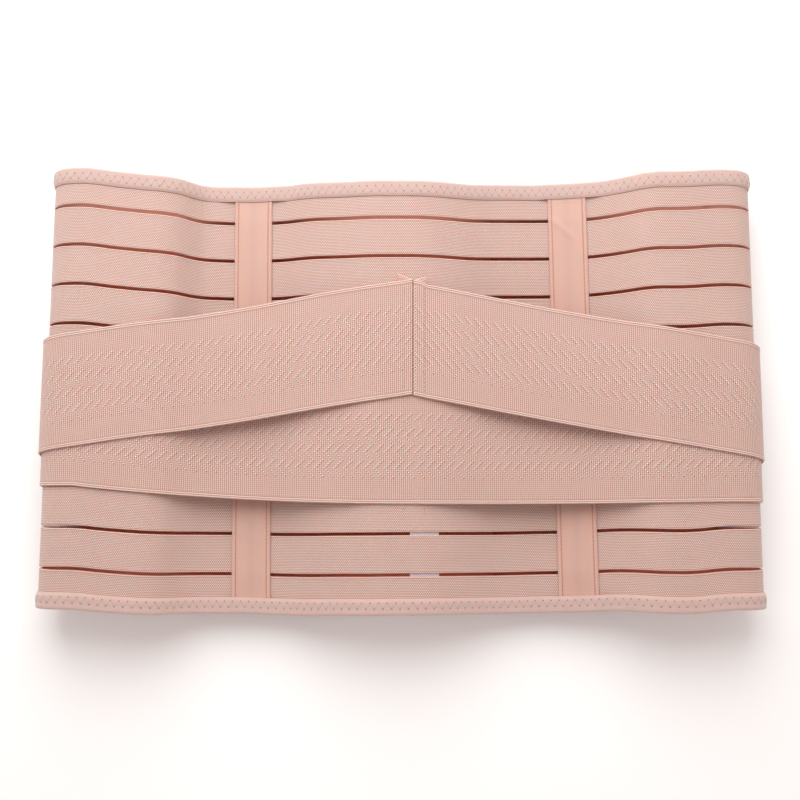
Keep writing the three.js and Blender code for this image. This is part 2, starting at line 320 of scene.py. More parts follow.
def repeated(bm, step, count):
    # copies of a small shape, a step apart, joined in one mesh
    mesh = bpy.data.meshes.new("repeat")
    bm.to_mesh(mesh)
    bm.free()
    holder = bpy.data.objects.new("repeat", mesh)
    bpy.context.scene.collection.objects.link(holder)
    array = holder.modifiers.new("copies", "ARRAY")
    array.use_relative_offset = False
    array.use_constant_offset = True
    array.constant_offset_displace = step
    array.count = count
    made = bpy.data.meshes.new_from_object(holder.evaluated_get(bpy.context.evaluated_depsgraph_get()))
    bpy.data.objects.remove(holder)
    bpy.data.meshes.remove(mesh)
    return made


def addStitch(bm, start, end, radius):
    # one stitch: a slim grain of thread from hole to hole, half sunk in the cloth
    start, end = Vector(start), Vector(end)
    reach = end - start
    turn = reach.to_track_quat("X", "Z").to_matrix().to_4x4()
    size = Matrix.Diagonal((reach.length / 2, radius, radius, 1))
    place = Matrix.Translation((start + end) / 2) @ turn @ size
    bmesh.ops.create_uvsphere(bm, u_segments=6, v_segments=5, radius=1, matrix=place)


def joinMeshes(meshes):
    bm = bmesh.new()
    for mesh in meshes:
        bm.from_mesh(mesh)
        bpy.data.meshes.remove(mesh)
    joined = bpy.data.meshes.new("joined")
    bm.to_mesh(joined)
    bm.free()
    return joined


# Shader nodes

# What all the cloth's materials share
fabric = {
    "sheenRoughness": 0.5,
    "specular": 0.25,
    "through": 0.85,  # cloth lets light through, the red of it furthest
    "throughRadius": (1.0, 0.3, 0.18),
    "throughScale": 1.3 * mm,
    "fibreHeight": 0.25,
    "innerShadeBlend": 0.25,
    "groove": 0.35,  # reach of the shade beyond the last cord, in cords
    "boneShade": 0.5,
    "seamShade": 0.6,
    "seamHoleShade": 0.8,
    "seamHeight": -2.5,
    "zigzagShade": 0.3,
    "zigzagHoleShade": 0.9,
    "zigzagHeight": -1.0,
    "zigzagHoleHeight": -3.0,
}


def addNode(tree, kind, inputs=None, **settings):
    made = tree.nodes.new(kind)
    for key, value in settings.items():
        setattr(made, key, value)
    for key, value in (inputs or {}).items():
        if isinstance(value, bpy.types.NodeSocket):
            tree.links.new(value, made.inputs[key])
        else:
            made.inputs[key].default_value = value
    return made


def sums(tree, operation, *values):
    return addNode(tree, "ShaderNodeMath", dict(enumerate(values)), operation=operation).outputs[0]


def blended(tree, share, first, second):
    mix = addNode(tree, "ShaderNodeMix", {0: share, 6: first, 7: second}, data_type="RGBA")
    return mix.outputs[2]


def tinted(tree, colour, mask, share, tint):
    return blended(tree, sums(tree, "MULTIPLY", mask, share), colour, tint)


def newGroup(name, inputs, outputs):
    tree = bpy.data.node_groups.new(name, "ShaderNodeTree")
    for label, kind, value in inputs:
        socket = tree.interface.new_socket(label, in_out="INPUT", socket_type="NodeSocket" + kind)
        if value is not None:
            socket.default_value = value
    for label, kind in outputs:
        tree.interface.new_socket(label, in_out="OUTPUT", socket_type="NodeSocket" + kind)
    return tree, tree.nodes.new("NodeGroupInput"), tree.nodes.new("NodeGroupOutput")


def cellWave(tree, value):
    # 0 at the edges of each whole cell and 1 in its middle
    return sums(tree, "ABSOLUTE", sums(tree, "SINE", sums(tree, "MULTIPLY", value, math.pi)))


def groundGroup():
    # plain weave: ribs and picks of thread, with a small gap where they cross
    tree, given, result = newGroup(
        "woven ground",
        [
            ("Vector", "Vector", None),
            ("Cell", "Float", 1.27 * mm),
            ("Pick", "Float", 1.27 * mm),
            ("Stagger", "Float", 0.0),
            ("Weft", "Float", 1.0),
        ],
        [("Beads", "Float"), ("Gaps", "Float")],
    )
    flat = addNode(tree, "ShaderNodeSeparateXYZ", {0: given.outputs["Vector"]})
    pick = sums(tree, "DIVIDE", flat.outputs["Y"], given.outputs["Pick"])
    shift = sums(tree, "MULTIPLY", sums(tree, "FLOOR", pick), given.outputs["Stagger"])
    rib = sums(tree, "ADD", sums(tree, "DIVIDE", flat.outputs["X"], given.outputs["Cell"]), shift)
    ribWave = cellWave(tree, rib)
    pickWave = cellWave(tree, pick)
    gaps = sums(tree, "MULTIPLY", sums(tree, "SUBTRACT", 1.0, ribWave), sums(tree, "SUBTRACT", 1.0, pickWave))
    dip = sums(tree, "MULTIPLY", sums(tree, "SUBTRACT", 1.0, pickWave), given.outputs["Weft"])
    tree.links.new(sums(tree, "MULTIPLY", ribWave, sums(tree, "SUBTRACT", 1.0, dip)), result.inputs["Beads"])
    tree.links.new(gaps, result.inputs["Gaps"])
    return tree


def zigzagGroup():
    # raised knots of thread in upright zigzag lines, inside a zone along the middle of the webbing
    tree, given, result = newGroup(
        "zigzag figure",
        [
            ("Vector", "Vector", None),
            ("Cell", "Float", 1.27 * mm),
            ("Columns", "Float", 5.0),
            ("Leg", "Float", 4.0),
            ("Zone", "Float", 20.5 * mm),
        ],
        [("Knots", "Float")],
    )
    flat = addNode(tree, "ShaderNodeSeparateXYZ", {0: given.outputs["Vector"]})
    x = sums(tree, "DIVIDE", flat.outputs["X"], given.outputs["Cell"])
    y = sums(tree, "DIVIDE", flat.outputs["Y"], given.outputs["Cell"])
    swing = sums(tree, "PINGPONG", sums(tree, "FLOOR", y), given.outputs["Leg"])
    sheared = sums(tree, "SUBTRACT", sums(tree, "FLOOR", x), swing)
    column = sums(tree, "WRAP", sheared, given.outputs["Columns"], 0.0)
    chosen = sums(tree, "LESS_THAN", column, 0.5)
    zone = sums(tree, "LESS_THAN", sums(tree, "ABSOLUTE", flat.outputs["Y"]), given.outputs["Zone"])
    knot = sums(tree, "MULTIPLY", cellWave(tree, x), cellWave(tree, y))
    knot = sums(tree, "MULTIPLY", knot, sums(tree, "MULTIPLY", chosen, zone))
    tree.links.new(knot, result.inputs["Knots"])
    return tree


def mottleGroup():
    # slow and fine unevenness of dyed cloth, about 0.5
    tree, given, result = newGroup(
        "cloth mottle",
        [("Vector", "Vector", None), ("Patch", "Float", 30.0), ("Fibre", "Float", 900.0)],
        [("Slow", "Float"), ("Fine", "Float")],
    )
    for label, scale, detail in (("Slow", "Patch", 2.0), ("Fine", "Fibre", 1.0)):
        inputs = {"Vector": given.outputs["Vector"], "Scale": given.outputs[scale], "Detail": detail}
        noise = addNode(tree, "ShaderNodeTexNoise", inputs)
        tree.links.new(noise.outputs["Fac"], result.inputs[label])
    return tree


def ramp(tree, value, reach):
    # 1 at a value of 0, falling to 0 at the reach
    share = sums(tree, "DIVIDE", sums(tree, "ABSOLUTE", value), reach)
    return sums(tree, "MAXIMUM", sums(tree, "SUBTRACT", 1.0, share), 0.0)


def selvedgeGroup():
    # raised cords along the sides of a webbing, and dots of shade in the grooves beside them
    tree, given, result = newGroup(
        "selvedge",
        [
            ("Vector", "Vector", None),
            ("Inset", "Float", 0.0),
            ("Cord", "Float", 1.4 * mm),
            ("Count", "Float", 2.0),
            ("Cell", "Float", 1.27 * mm),
        ],
        [("Cords", "Float"), ("Dots", "Float")],
    )
    flat = addNode(tree, "ShaderNodeSeparateXYZ", {0: given.outputs["Vector"]})
    cord = sums(tree, "DIVIDE", given.outputs["Inset"], given.outputs["Cord"])
    wave = cellWave(tree, cord)
    cords = sums(tree, "MULTIPLY", wave, sums(tree, "LESS_THAN", cord, given.outputs["Count"]))
    groove = sums(tree, "SUBTRACT", 1.0, wave)
    cells = cellWave(tree, sums(tree, "DIVIDE", flat.outputs["X"], given.outputs["Cell"]))
    near = sums(tree, "LESS_THAN", cord, sums(tree, "ADD", given.outputs["Count"], fabric["groove"]))
    tree.links.new(cords, result.inputs["Cords"])
    tree.links.new(sums(tree, "MULTIPLY", groove, sums(tree, "MULTIPLY", cells, near)), result.inputs["Dots"])
    return tree


def seamGroup():
    # a straight seam at a distance from the edge: its groove, and the needle holes in it
    tree, given, result = newGroup(
        "straight seam",
        [
            ("Vector", "Vector", None),
            ("Inset", "Float", 0.0),
            ("Row", "Float", 2.5 * mm),
            ("Width", "Float", 0.6 * mm),
            ("Pitch", "Float", 2.6 * mm),
        ],
        [("Groove", "Float"), ("Holes", "Float")],
    )
    flat = addNode(tree, "ShaderNodeSeparateXYZ", {0: given.outputs["Vector"]})
    off = sums(tree, "SUBTRACT", given.outputs["Inset"], given.outputs["Row"])
    groove = ramp(tree, off, given.outputs["Width"])
    way = sums(tree, "ADD", flat.outputs["X"], flat.outputs["Y"])
    thread = cellWave(tree, sums(tree, "DIVIDE", way, given.outputs["Pitch"]))
    holes = sums(tree, "POWER", sums(tree, "SUBTRACT", 1.0, thread), 2.0)
    tree.links.new(groove, result.inputs["Groove"])
    tree.links.new(sums(tree, "MULTIPLY", groove, holes), result.inputs["Holes"])
    return tree


def zigzagSeamGroup():
    # a zigzag seam between two rows of needle holes
    tree, given, result = newGroup(
        "zigzag seam",
        [
            ("Vector", "Vector", None),
            ("Inset", "Float", 0.0),
            ("Near", "Float", 2.6 * mm),
            ("Far", "Float", 6.4 * mm),
            ("Pitch", "Float", 5.2 * mm),
            ("Width", "Float", 0.7 * mm),
        ],
        [("Line", "Float"), ("Holes", "Float")],
    )
    flat = addNode(tree, "ShaderNodeSeparateXYZ", {0: given.outputs["Vector"]})
    inset, near, far = (given.outputs[label] for label in ("Inset", "Near", "Far"))
    half = sums(tree, "DIVIDE", given.outputs["Pitch"], 2.0)
    fromFar = sums(tree, "PINGPONG", flat.outputs["X"], half)
    share = sums(tree, "DIVIDE", fromFar, half)
    line = sums(tree, "MULTIPLY_ADD", sums(tree, "SUBTRACT", near, far), share, far)
    holes = 0.0
    for row, aside in ((far, fromFar), (near, sums(tree, "SUBTRACT", half, fromFar))):
        offset = addNode(tree, "ShaderNodeCombineXYZ", {0: aside, 1: sums(tree, "SUBTRACT", inset, row)})
        away = addNode(tree, "ShaderNodeVectorMath", {0: offset.outputs[0]}, operation="LENGTH")
        holes = sums(tree, "MAXIMUM", holes, ramp(tree, away.outputs["Value"], given.outputs["Width"]))
    off = sums(tree, "SUBTRACT", inset, line)
    tree.links.new(ramp(tree, off, given.outputs["Width"]), result.inputs["Line"])
    tree.links.new(holes, result.inputs["Holes"])
    return tree


groups = {
    "ground": groundGroup(),
    "zigzag": zigzagGroup(),
    "mottle": mottleGroup(),
    "selvedge": selvedgeGroup(),
    "seam": seamGroup(),
    "zigzagSeam": zigzagSeamGroup(),
}


def useGroup(tree, name, **inputs):
    made = addNode(tree, "ShaderNodeGroup", node_tree=groups[name])
    for key, value in inputs.items():
        if isinstance(value, bpy.types.NodeSocket):
            tree.links.new(value, made.inputs[key])
        else:
            made.inputs[key].default_value = value
    return made.outputs


def startMaterial(name, look):
    material = bpy.data.materials.new(name)
    material.use_nodes = True
    tree = material.node_tree
    shader = tree.nodes["Principled BSDF"]
    shader.inputs["Roughness"].default_value = look["roughness"]
    shader.inputs["Sheen Weight"].default_value = look["sheen"]
    shader.inputs["Sheen Roughness"].default_value = fabric["sheenRoughness"]
    shader.inputs["Specular IOR Level"].default_value = fabric["specular"]
    shader.inputs["Subsurface Weight"].default_value = fabric["through"]
    shader.inputs["Subsurface Radius"].default_value = fabric["throughRadius"]
    shader.inputs["Subsurface Scale"].default_value = fabric["throughScale"]
    return material, tree, shader


def rgb(red, green, blue):
    # a colour given in display values from 0 to 255
    return [((c / 255 + 0.055) / 1.055) ** 2.4 for c in (red, green, blue)] + [1.0]


def measure(tree, label):
    return addNode(tree, "ShaderNodeAttribute", attribute_name=label).outputs["Fac"]


# Painted shade: the inner faces are painted duller near the open top, to take back some of the light that
# falls in on them there
innerTopShade = {
    "top": 143 * mm,
    "reach": 55 * mm,
    "colour": rgb(172, 124, 108),
}


def finishMaterial(tree, shader, look, colour, height):
    # the cloth's mottle on top of its own pattern, the painted shade and red bounce light of its inner face,
    # and the bump
    place = addNode(tree, "ShaderNodeTexCoord").outputs["Object"]
    mottle = useGroup(tree, "mottle", Vector=place)
    slow = sums(tree, "MULTIPLY_ADD", sums(tree, "SUBTRACT", mottle["Slow"], 0.5), look["mottle"], 1.0)
    fine = sums(tree, "MULTIPLY_ADD", sums(tree, "SUBTRACT", mottle["Fine"], 0.5), look["mottle"], slow)
    # painted shade and bounce light: the inner face is painted a deeper red, as the shaded hollow of the belt
    # looks where light bounces in it and comes through the cloth
    if "inner" in look:
        inner = sums(tree, "SUBTRACT", measure(tree, "inward"), look["innerShadeFrom"])
        inner = sums(tree, "DIVIDE", inner, fabric["innerShadeBlend"])
        inner = sums(tree, "MINIMUM", sums(tree, "MAXIMUM", inner, 0.0), 1.0)
        # painted shade: near the open top the inner colour is painted duller still
        up = addNode(tree, "ShaderNodeSeparateXYZ", {0: place}).outputs["Y"]
        nearTop = ramp(tree, sums(tree, "SUBTRACT", up, innerTopShade["top"]), innerTopShade["reach"])
        colour = blended(tree, inner, colour, blended(tree, nearTop, look["inner"], innerTopShade["colour"]))
    shade = addNode(tree, "ShaderNodeVectorMath", {0: colour, "Scale": fine}, operation="SCALE")
    tree.links.new(shade.outputs["Vector"], shader.inputs["Base Color"])
    height = sums(tree, "MULTIPLY_ADD", mottle["Fine"], fabric["fibreHeight"], height)
    relief = {"Height": height, "Distance": look["depth"], "Strength": look["bump"]}
    bump = addNode(tree, "ShaderNodeBump", relief)
    tree.links.new(bump.outputs["Normal"], shader.inputs["Normal"])


def flatCut(tree):
    return addNode(tree, "ShaderNodeUVMap", uv_map="UVMap").outputs["UV"]


def wovenMaterial(name, look):
    # a plain weave, with whichever edge lines and seams its look names
    material, tree, shader = startMaterial(name, look)
    cut = flatCut(tree)
    ground = useGroup(
        tree, "ground", Vector=cut, Cell=look["cell"], Pick=look["pick"], Stagger=look["stagger"],
    )
    height = ground["Beads"]
    colour = blended(tree, ground["Beads"], look["low"], look["high"])
    colour = tinted(tree, colour, ground["Gaps"], look["gap"], look["deep"])
    inset = measure(tree, "sideInset")
    # painted shade: the thin rim of the cloth is painted a deeper red, the colour of the reddish shade along
    # its edge
    if "rim" in look:
        colour = blended(tree, ramp(tree, inset, look["rimShadeReach"]), colour, look["rim"])
    if "bone" in look:
        off = sums(tree, "SUBTRACT", measure(tree, "endInset"), look["boneAt"])
        colour = tinted(tree, colour, ramp(tree, off, look["boneReach"]), fabric["boneShade"], look["bone"])
    if "cord" in look:
        edge = useGroup(
            tree, "selvedge", Vector=cut, Inset=inset, Cord=look["cord"], Count=look["cords"],
            Cell=look["cell"],
        )
        # painted highlight on the raised edge cords, and painted shade in the grooves beside them
        colour = tinted(tree, colour, edge["Cords"], look["cordHighlight"], look["light"])
        colour = tinted(tree, colour, edge["Dots"], look["dots"], look["deep"])
        height = sums(tree, "MULTIPLY_ADD", edge["Dots"], -1.0, height)
    if "seamRow" in look:
        ends = measure(tree, "endInset")
        near = ends if look["seamSides"] == "ends" else sums(tree, "MINIMUM", inset, ends)
        seam = useGroup(tree, "seam", Vector=cut, Inset=near, Row=look["seamRow"], Pitch=look["seamPitch"])
        # painted shade in the seam's groove and in its needle holes
        colour = tinted(tree, colour, seam["Groove"], fabric["seamShade"], look["deep"])
        colour = tinted(tree, colour, seam["Holes"], fabric["seamHoleShade"], look["deep"])
        height = sums(tree, "MULTIPLY_ADD", seam["Groove"], fabric["seamHeight"], height)
    if "zigzagNear" in look:
        seam = useGroup(
            tree, "zigzagSeam", Vector=cut, Inset=inset, Near=look["zigzagNear"], Far=look["zigzagFar"],
            Pitch=look["zigzagPitch"],
        )
        # painted shade along the sunk zigzag thread and in its needle holes
        colour = tinted(tree, colour, seam["Line"], fabric["zigzagShade"], look["deep"])
        colour = tinted(tree, colour, seam["Holes"], fabric["zigzagHoleShade"], look["deep"])
        height = sums(tree, "MULTIPLY_ADD", seam["Line"], fabric["zigzagHeight"], height)
        height = sums(tree, "MULTIPLY_ADD", seam["Holes"], fabric["zigzagHoleHeight"], height)
    finishMaterial(tree, shader, look, colour, height)
    return material


def figuredMaterial(name, look):
    # the straps' webbing: a ribbed ground, a zigzag figure along its middle and corded edges
    material, tree, shader = startMaterial(name, look)
    cut = flatCut(tree)
    ground = useGroup(tree, "ground", Vector=cut, Cell=look["cell"], Pick=look["pick"], Weft=look["weft"])
    figure = useGroup(tree, "zigzag", Vector=cut, Cell=look["cell"], Zone=look["zone"])
    # painted shadow: a copy of the knots, shifted a little aside, is tinted deep where each raised knot casts
    # its shadow
    aside = addNode(tree, "ShaderNodeVectorMath", {0: cut, 1: look["shadeAside"]}, operation="ADD")
    shade = useGroup(tree, "zigzag", Vector=aside.outputs["Vector"], Cell=look["cell"], Zone=look["zone"])
    edge = useGroup(
        tree, "selvedge", Vector=cut, Inset=measure(tree, "sideInset"), Cord=look["cord"],
        Count=look["cords"], Cell=look["cell"],
    )
    colour = blended(tree, ground["Beads"], look["low"], look["high"])
    colour = tinted(tree, colour, ground["Gaps"], look["gap"], look["deep"])
    colour = tinted(tree, colour, shade["Knots"], look["knotShade"], look["deep"])
    # painted highlight on the raised knots
    colour = tinted(tree, colour, figure["Knots"], look["knot"], look["light"])
    # painted highlight on the raised edge cords, and painted shade in the grooves beside them
    colour = tinted(tree, colour, edge["Cords"], look["cordHighlight"], look["light"])
    colour = tinted(tree, colour, edge["Dots"], look["dots"], look["deep"])
    height = sums(tree, "MULTIPLY_ADD", figure["Knots"], look["knotHeight"], ground["Beads"])
    height = sums(tree, "MULTIPLY_ADD", edge["Dots"], -1.0, height)
    finishMaterial(tree, shader, look, colour, height)
    return material


def threadMaterial(name, look):
    material, tree, shader = startMaterial(name, look)
    shader.inputs["Subsurface Weight"].default_value = 0
    colour = addNode(tree, "ShaderNodeRGB")
    colour.outputs[0].default_value = look["high"]
    finishMaterial(tree, shader, look, colour.outputs[0], 0.0)
    return material


# Elastic bands

bands = {
    "thickness": 1.4 * mm,
    "rounding": 0.55 * mm,
    "step": 3.2 * mm,
    "acrossStep": 2.2 * mm,
    "edges": (0, 0.12 * mm, 0.3 * mm, 0.55 * mm, 0.9 * mm, 1.3 * mm, 1.8 * mm),
    "rimAt": 0.9 * mm,  # a cord of thread along each edge
    "rimSwell": 0.1 * mm,
    "closing": 22 * mm,  # reach, either side of a side fold's middle, over which the slots close
    "closeBy": 0.38 * mm,
    "look": {
        "high": rgb(226, 206, 199), "low": rgb(173, 137, 124), "deep": rgb(156, 100, 84),
        # light: painted highlight on the edge cords; inner: painted shade and red bounce light on the face
        # inside the belt
        "light": rgb(230, 206, 197), "inner": rgb(218, 150, 130), "innerShadeFrom": 0.2,
        "gap": 0.65, "cell": 1.27 * mm, "pick": 1.0 * mm, "stagger": 0.5,
        "cord": 1.0 * mm, "cords": 1.0, "cordHighlight": 0.35, "dots": 0.8, "roughness": 0.85, "sheen": 0.15,
        "mottle": 0.06, "depth": 0.25 * mm, "bump": 0.5,
    },
}


def widened(flat, surface, openSides):
    # a band is wider round the side folds, where the slots beside it close
    flat = flat.copy()
    across = surface["outer"][:, :, 0].mean(axis=1)
    for at in (surface["run"][across.argmax()], surface["run"][across.argmin()]):
        near = np.clip(1 - np.abs(flat[:, 0] - at) / bands["closing"], 0, 1)
        for side in openSides:
            share = np.clip(side * flat[:, 1] / (surface["width"] / 2), 0, 1)
            flat[:, 1] += side * bands["closeBy"] * near * share
    return flat


def buildBands():
    cloth = wovenMaterial("elastic cloth", bands["look"])
    for i in range(11):
        node = f"elastic_band_{i + 1:02d}"
        surface = surfaceOf(node)
        half = surface["width"] / 2
        openSides = [side for side, closed in ((1, i == 0), (-1, i == 10)) if not closed]

        def rimCord(x, y):
            off = (half - abs(y) - bands["rimAt"]) / bands["rimAt"]
            return bands["rimSwell"] * max(0.0, 1 - off * off)

        along = withEdges(surface["length"], bands["step"], bands["edges"])
        across = withEdges(surface["width"], bands["acrossStep"], bands["edges"]) - half
        mesh = cutCloth(along, across, bands["thickness"], bands["rounding"], rimCord)
        piece = layPiece(
            f"band_cloth_{i + 1:02d}", mesh, surface, bands["thickness"], cloth, node,
            lambda flat: widened(flat, surface, openSides),
        )


buildBands()
print("stage: bands")

# Bindings

bindings = {
    "thickness": 1.1 * mm,
    "rounding": 0.5 * mm,
    "step": 3 * mm,
    "acrossStep": 1 * mm,
    "edges": (0, 0.12 * mm, 0.3 * mm, 0.5 * mm, 1 * mm, 1.6 * mm, 2.4 * mm),
    "thinBy": 0.65 * mm,  # the legs thin out towards their edges
    "thinReach": 2.4 * mm,
    "pressBy": 0.35 * mm,  # and press down on the bands there
    "pressReach": 1.6 * mm,
    "stitchPitch": 5.2 * mm,
    "stitchRows": (2.6 * mm, 6.4 * mm),  # from the edge of each leg
    "thread": 0.2 * mm,
    "look": {
        "high": rgb(211, 186, 179), "low": rgb(202, 176, 168), "deep": rgb(165, 112, 99), "gap": 0.3,
        # inner: painted shade and red bounce light on the face inside the belt
        "inner": rgb(228, 160, 142), "innerShadeFrom": 0.6, "cell": 0.55 * mm, "pick": 0.55 * mm, "stagger": 0.5,
        "zigzagNear": 2.6 * mm, "zigzagFar": 6.4 * mm, "zigzagPitch": 5.2 * mm,
        # rim: painted reddish shade along the thin edges of the legs
        "rim": rgb(214, 158, 141), "rimShadeReach": 0.45 * mm, "roughness": 0.8, "sheen": 0.2,
        "mottle": 0.05, "depth": 0.2 * mm, "bump": 0.6,
    },
    # the thread is a little darker than the binding: painted shade of the groove it sinks into
    "threadLook": {
        "high": rgb(203, 170, 159), "roughness": 0.6, "sheen": 0.1,
        "mottle": 0.1, "depth": 0.05 * mm, "bump": 0.3,
    },
}


def zigzagStitches(surface, faceStart, way, thickness):
    # a zigzag along one leg of the binding; way is the direction across from the leg's edge
    rows = [faceStart + way * row for row in bindings["stitchRows"]]
    pitch = bindings["stitchPitch"]
    count = int(surface["length"] / pitch) - 1
    lift = thickness + bindings["thread"] * 0.3
    bm = bmesh.new()
    addStitch(bm, (pitch * 0.5, rows[0], lift), (pitch, rows[1], lift), bindings["thread"])
    addStitch(bm, (pitch, rows[1], lift), (pitch * 1.5, rows[0], lift), bindings["thread"])
    return repeated(bm, (pitch, 0, 0), count)


def pressed(flat, surface):
    flat = flat.copy()
    inset = surface["width"] / 2 - np.abs(flat[:, 1])
    flat[:, 2] -= bindings["pressBy"] * np.clip(1 - inset / bindings["pressReach"], 0, 1)
    return flat


def buildBindings():
    cloth = wovenMaterial("binding cloth", bindings["look"])
    thread = threadMaterial("binding thread", bindings["threadLook"])
    for name, side in (("top_binding", 1), ("bottom_binding", -1)):
        surface = surfaceOf(name, outerCount=6, side=side)
        half = surface["width"] / 2
        along = withEdges(surface["length"], bindings["step"], bindings["edges"])
        across = withEdges(surface["width"], bindings["acrossStep"], bindings["edges"]) - half

        def thinned(x, y):
            return -bindings["thinBy"] * max(0.0, 1 - (half - abs(y)) / bindings["thinReach"])

        mesh = cutCloth(along, across, bindings["thickness"], bindings["rounding"], thinned)
        piece = layPiece(
            name + "_cloth", mesh, surface, bindings["thickness"], cloth, name,
            lambda flat: pressed(flat, surface),
        )
        rows = [zigzagStitches(surface, way * -half, way, bindings["thickness"]) for way in (1, -1)]
        mesh = joinMeshes(rows)
        stitches = layPiece(
            name + "_stitches", mesh, surface, bindings["thickness"], thread
        )


buildBindings()
print("stage: bindings")

# Straps

straps = {
    "thickness": 1.4 * mm,
    "rounding": 0.6 * mm,
    "step": 3.2 * mm,
    "acrossStep": 3 * mm,
    "edges": (0, 0.12 * mm, 0.3 * mm, 0.6 * mm, 1.0 * mm, 1.3 * mm, 1.7 * mm, 2.1 * mm, 2.5 * mm, 3 * mm),
    "cords": (0.7 * mm, 1.95 * mm),  # two raised lines along each edge
    "cordHalf": 0.6 * mm,
    "cordSwell": 0.22 * mm,
    "picotPitch": 1.27 * mm,
    "picot": 0.3 * mm,  # small loops of thread along the edges
    "picotOut": 0.06 * mm,
    "picotLong": 1.3,
    "rise": {  # how far each half is pulled up at the seam, and over what length of it
        "upper_strap_left": {"top": 2.0 * mm, "bottom": 0.9 * mm, "hold": 40 * mm, "fade": 130 * mm},
        "upper_strap_right": {"top": 1.5 * mm, "bottom": 0.2 * mm, "hold": 3 * mm, "fade": 9.5 * mm},
    },
    "look": {
        "high": rgb(214, 189, 180), "low": rgb(180, 142, 129), "deep": rgb(146, 90, 75),
        # light: painted highlight on the knots and edge cords; inner: painted shade and red bounce light on
        # the face under the strap
        "light": rgb(240, 224, 216), "inner": rgb(230, 158, 138), "innerShadeFrom": 0.35,
        "weft": 0.35, "gap": 0.85, "cell": 1.27 * mm, "pick": 1.27 * mm,
        # knotShade and shadeAside: the painted shadow beside each knot
        "zone": 20.5 * mm, "knot": 0.85, "knotHeight": 1.5, "knotShade": 1.0,
        "shadeAside": (0.6 * mm, 0.6 * mm, 0), "cord": 1.28 * mm, "cords": 2.0, "cordHighlight": 0.5,
        "dots": 0.9, "roughness": 0.8, "sheen": 0.15, "mottle": 0.05, "depth": 0.3 * mm, "bump": 0.6,
    },
}

# The seam between the halves of the upper strap: distances from it, along each half
seam = {
    "turned": {"upper_strap_right": 7.5 * mm, "upper_strap_left": 6 * mm},  # width of the turned end
    "swell": 0.35 * mm,
    "slope": 1.2 * mm,
    "endStrip": 1.1 * mm,
    "stations": [at * mm for at in (1.3, 1.7, 2.5, 4, 5, 5.5, 6, 6.5, 7, 7.5, 8, 8.6, 9.5, 11)],
    "strandPitch": 2.1 * mm,
    "strandStart": (-0.5 * mm, -1.5 * mm, 1.8 * mm),
    "strandEnd": (1.7 * mm, 1.2 * mm, 2.05 * mm),
    "strand": 0.34 * mm,
    "gap": 0.6 * mm,  # between the two halves, with a cord of thread sunk in it
    "cordDepth": 1.35 * mm,
    "stitchPitch": 2.6 * mm,
    "stitchLength": 1.9 * mm,
    "stitchMargin": 1 * mm,  # from the webbing's edges
    "strandMargin": 2 * mm,
    "cordMargin": 0.4 * mm,
    "thread": 0.2 * mm,
    "bandBelow": "elastic_band_09",  # where the stitches run on below the lower strap
    "runOn": 7 * mm,
    "ears": {
        "upper_strap_left": {"length": 9.4 * mm, "rise": 5.2 * mm},
        "upper_strap_right": {"length": 8.6 * mm, "rise": 4.0 * mm},
    },
    "earStep": 1.2 * mm,
    "earDepth": 7.5 * mm,
    "earThickness": 0.9 * mm,
    "earLift": -0.95 * mm,
    # the topstitch thread is darker than the webbing: painted shade of its sunk holes and groove
    "topLook": {
        "high": rgb(186, 142, 128), "roughness": 0.6, "sheen": 0.1,
        "mottle": 0.1, "depth": 0.05 * mm, "bump": 0.3,
    },
    "cordLook": {
        "high": rgb(196, 136, 118), "roughness": 0.8, "sheen": 0.1,
        "mottle": 0.3, "depth": 0.05 * mm, "bump": 0.3,
    },
    "threadLook": {
        "high": rgb(222, 198, 189), "roughness": 0.6, "sheen": 0.1,
        "mottle": 0.1, "depth": 0.05 * mm, "bump": 0.3,
    },
}


def picotRow(length, edge, outward, thickness):
    bm = bmesh.new()
    pitch = straps["picotPitch"]
    place = Matrix.Translation((pitch / 2, edge + outward * straps["picotOut"], thickness / 2))
    size = Matrix.Diagonal((straps["picotLong"], 1, 1, 1))
    bmesh.ops.create_uvsphere(bm, u_segments=5, v_segments=4, radius=straps["picot"], matrix=place @ size)
    return repeated(bm, (pitch, 0, 0), int(length / pitch))


def raised(flat, surface, name):
    if name not in straps["rise"]:
        return flat
    rise = straps["rise"][name]
    near = np.clip((rise["fade"] - flat[:, 0]) / (rise["fade"] - rise["hold"]), 0, 1)
    up = np.clip(flat[:, 1] / surface["width"] + 0.5, 0, 1)
    lifted = flat.copy()
    lifted[:, 1] += near * near * (3 - 2 * near) * (rise["bottom"] + (rise["top"] - rise["bottom"]) * up)
    return lifted


def buildStraps():
    cloth = figuredMaterial("strap webbing", straps["look"])
    surfaces = {}
    for name, facing in (("lower_strap", -1), ("upper_strap_right", -1), ("upper_strap_left", 1)):
        surface = surfaces[name] = surfaceOf(name, facing)
        half = surface["width"] / 2
        turned = seam["turned"].get(name, 0)

        def relief(x, y):
            inset = half - abs(y)
            cords = (1 - ((inset - at) / straps["cordHalf"]) ** 2 for at in straps["cords"])
            overTurned = min(1.0, max(0.0, (turned - x) / seam["slope"]))
            return straps["cordSwell"] * max(0.0, *cords) + seam["swell"] * overTurned

        along = withEdges(surface["length"], straps["step"], straps["edges"])
        if turned:
            kept = (along < seam["endStrip"]) | (along > seam["stations"][-1])
            along = np.union1d(along[kept], seam["stations"])
        across = withEdges(surface["width"], straps["acrossStep"], straps["edges"]) - half
        mesh = cutCloth(along, across, straps["thickness"], straps["rounding"], relief)
        rows = [picotRow(surface["length"], way * half, way, straps["thickness"]) for way in (1, -1)]
        mesh = joinMeshes([mesh] + rows)
        piece = layPiece(
            name + "_cloth", mesh, surface, straps["thickness"], cloth, name,
            lambda flat: raised(flat, surface, name),
        )
    return surfaces, cloth


